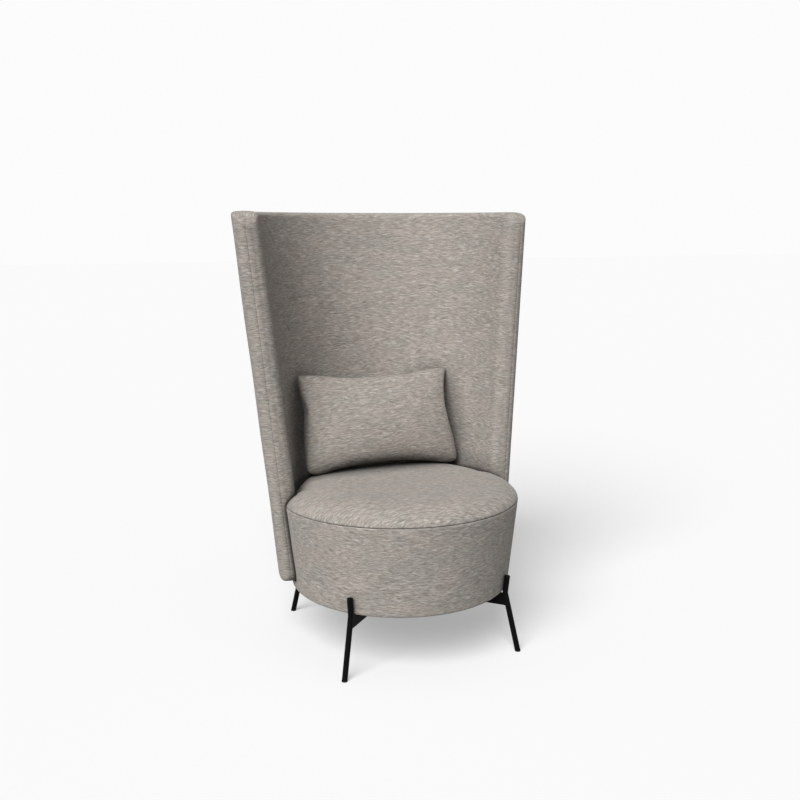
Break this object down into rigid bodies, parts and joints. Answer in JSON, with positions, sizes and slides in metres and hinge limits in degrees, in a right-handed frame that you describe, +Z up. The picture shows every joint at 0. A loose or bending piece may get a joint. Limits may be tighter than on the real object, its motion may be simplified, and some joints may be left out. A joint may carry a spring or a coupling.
{
  "type": "high back lounge chair",
  "caption": "Upholstered lounge chair with a round drum seat, a tall padded shell wrapped round the sitter, bent rod legs and a loose lumbar cushion.",
  "frame": {"origin": "on the floor, under the middle of the chair's bounding box", "axes": "+Z up, -Y the way the sitter faces, +X towards the sitter's left"},
  "size_m": [0.9156, 0.8815, 1.26],
  "materials": {
    "taupe_melange_fabric": "woven melange upholstery cloth with short streaks of light and dark yarn",
    "black_powder_coat": "fine matt black powder coat on steel",
    "glide_nylon": "black moulded nylon",
    "zinc_steel": "bright zinc plate",
    "birch_plywood": "sanded birch plywood",
    "beech_timber": "planed beech",
    "fibreboard": "thin bent hardboard",
    "upholstery_foam": "cut flexible foam",
    "polyester_fibre": "soft white fibre",
    "elastic_webbing": "woven elastic strap",
    "black_lining": "black non-woven lining"
  },
  "bodies": {
    "chair": {"leg_front_left": "black_powder_coat", "leg_front_right": "black_powder_coat", "leg_rear_left": "black_powder_coat", "leg_rear_right": "black_powder_coat", "glide_front_left": "glide_nylon", "glide_front_right": "glide_nylon", "glide_rear_left": "glide_nylon", "glide_rear_right": "glide_nylon", "cross_bar_under": "black_powder_coat", "cross_bar_over": "black_powder_coat", "tab_front_left": "black_powder_coat", "tab_front_right": "black_powder_coat", "tab_rear_left": "black_powder_coat", "tab_rear_right": "black_powder_coat", "frame_screws": "zinc_steel", "frame_tee_nuts": "zinc_steel", "seat_base_board": "birch_plywood", "seat_ring": "birch_plywood", "post_rear_middle": "beech_timber", "post_rear_left": "beech_timber", "post_front_left": "beech_timber", "post_front_middle": "beech_timber", "post_front_right": "beech_timber", "post_rear_right": "beech_timber", "seat_side_board": "fibreboard", "seat_side_foam": "upholstery_foam", "seat_side_cover": "taupe_melange_fabric", "seat_dust_cover": "black_lining", "webbing_across": "elastic_webbing", "webbing_lengthwise": "elastic_webbing", "seat_foam": "upholstery_foam", "seat_wadding": "polyester_fibre", "seat_top_cover": "taupe_melange_fabric", "back_plywood": "birch_plywood", "back_inner_foam": "upholstery_foam", "back_outer_foam": "upholstery_foam", "back_inner_cover": "taupe_melange_fabric", "back_outer_cover": "taupe_melange_fabric", "back_spacers": "zinc_steel", "back_bolts": "zinc_steel", "back_tee_nuts": "zinc_steel"},
    "cushion": {"cushion_front_panel": "taupe_melange_fabric", "cushion_back_panel": "taupe_melange_fabric", "cushion_filling": "polyester_fibre"}
  },
  "joints": [
    {"name": "cushion_lift", "type": "slide", "parent": "chair", "child": "cushion", "axis": [0, 0, 1], "range_m": [0, 0.6]}
  ]
}
